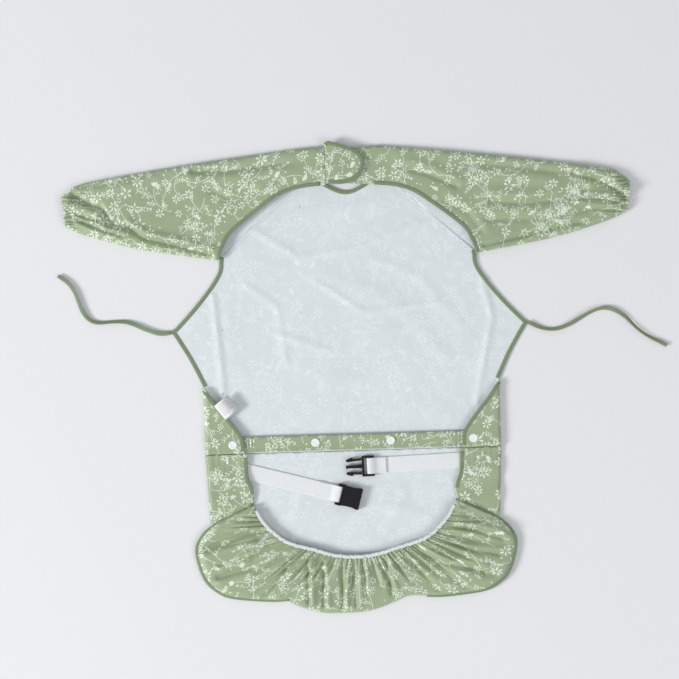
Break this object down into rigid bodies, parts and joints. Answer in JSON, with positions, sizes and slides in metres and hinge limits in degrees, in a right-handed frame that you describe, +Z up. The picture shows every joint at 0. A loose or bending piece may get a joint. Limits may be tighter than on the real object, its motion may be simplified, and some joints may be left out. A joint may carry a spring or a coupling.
{
  "type": "toddler smock with catcher skirt",
  "caption": "Long-sleeved wipe-clean toddler smock laid flat, lining up, with neck tab, side ties and a gathered catcher skirt with chair straps on press studs.",
  "frame": {"origin": "under the middle of the garment's outline without its ties, on the surface it lies on", "axes": "+Y towards the neck, +X along the wearer's right sleeve as laid out, +Z up out of the lining side"},
  "size_m": [0.7595, 0.5886, 0.0106],
  "materials": {
    "lining": "smooth laminated film, satin",
    "print": "plain weave, white botanical print",
    "binding": "folded bias tape",
    "elastic": "knitted elastic",
    "webbing": "herringbone webbing",
    "hook_and_loop": "hook and loop pile",
    "label": "satin ribbon",
    "snap": "moulded, glossy",
    "buckle": "moulded, satin"
  },
  "bodies": {
    "smock": {"front_panel": "lining", "shoulder_left": "print", "shoulder_right": "print", "back_binding_left": "binding", "back_binding_right": "binding", "side_binding_left": "binding", "side_binding_right": "binding", "column_binding_left": "binding", "column_binding_right": "binding", "neck_binding": "binding", "loop_patch": "hook_and_loop", "care_label": "label", "tie_left": "binding", "tie_right": "binding", "skirt_waistband": "print", "waistband_end_left": "print", "waistband_end_right": "print", "snap_back_band_left": "snap", "snap_stud_band_left": "snap", "snap_socket_band_left": "snap", "snap_cap_band_left": "snap", "snap_back_band_right": "snap", "snap_stud_band_right": "snap", "snap_socket_band_right": "snap", "snap_cap_band_right": "snap", "snap_back_side_left": "snap", "snap_stud_side_left": "snap", "snap_socket_side_left": "snap", "snap_cap_side_left": "snap", "snap_back_side_right": "snap", "snap_stud_side_right": "snap", "snap_socket_side_right": "snap", "snap_cap_side_right": "snap"},
    "sleeve_left": {"sleeve_left": "print", "cuff_left": "print", "cuff_elastic_left": "elastic"},
    "sleeve_right": {"sleeve_right": "print", "cuff_right": "print", "cuff_elastic_right": "elastic"},
    "neck_tab": {"neck_tab": "print", "tab_binding": "binding", "hook_patch": "hook_and_loop"},
    "skirt": {"skirt_panel": "lining", "rim_ruffle": "print", "rim_binding_left": "binding", "rim_binding_right": "binding", "rim_elastic": "elastic", "skirt_binding_left": "binding", "skirt_binding_right": "binding", "strap_anchor_left": "webbing", "strap_anchor_right": "webbing"},
    "strap_left": {"strap_left": "webbing", "buckle_socket": "buckle"},
    "strap_right": {"strap_right": "webbing", "buckle_plug": "buckle"},
    "latch_upper": {"latch_arm_upper": "buckle"},
    "latch_lower": {"latch_arm_lower": "buckle"}
  },
  "joints": [
    {"name": "neck_tab_open", "type": "hinge", "parent": "smock", "child": "neck_tab", "pos_m": [-0.0258, 0.267, 0.0109], "axis": [0, -1, 0], "range_deg": [0, 165]},
    {"name": "sleeve_left_fold", "type": "hinge", "parent": "smock", "child": "sleeve_left", "pos_m": [-0.18, 0.21, 0.012], "axis": [0, 1, 0], "range_deg": [0, 170]},
    {"name": "sleeve_right_fold", "type": "hinge", "parent": "smock", "child": "sleeve_right", "pos_m": [0.18, 0.21, 0.012], "axis": [0, -1, 0], "range_deg": [0, 170]},
    {"name": "skirt_fold", "type": "hinge", "parent": "smock", "child": "skirt", "pos_m": [0, -0.092, 0.0068], "axis": [-1, 0, 0], "range_deg": [0, 90]},
    {"name": "strap_left_lift", "type": "hinge", "parent": "skirt", "child": "strap_left", "pos_m": [-0.1274, -0.1164, 0.0026], "axis": [-0.2639, -0.9646, 0], "range_deg": [0, 90]},
    {"name": "strap_right_lift", "type": "hinge", "parent": "skirt", "child": "strap_right", "pos_m": [0.13, -0.1082, 0.0026], "axis": [-0.0314, 0.9995, 0], "range_deg": [0, 90]},
    {"name": "latch_upper_press", "type": "hinge", "parent": "strap_right", "child": "latch_upper", "pos_m": [0.00948, -0.10318, 0.0041], "axis": [0, 0, 1], "range_deg": [0, 7], "stiffness_Nm_per_rad": 0.05},
    {"name": "latch_lower_press", "type": "hinge", "parent": "strap_right", "child": "latch_lower", "pos_m": [0.01004, -0.12077, 0.0041], "axis": [0, 0, -1], "range_deg": [0, 7], "stiffness_Nm_per_rad": 0.05}
  ],
  "couplings": [
    {"joint": "latch_lower_press", "follows": "latch_upper_press", "ratio": 1}
  ]
}
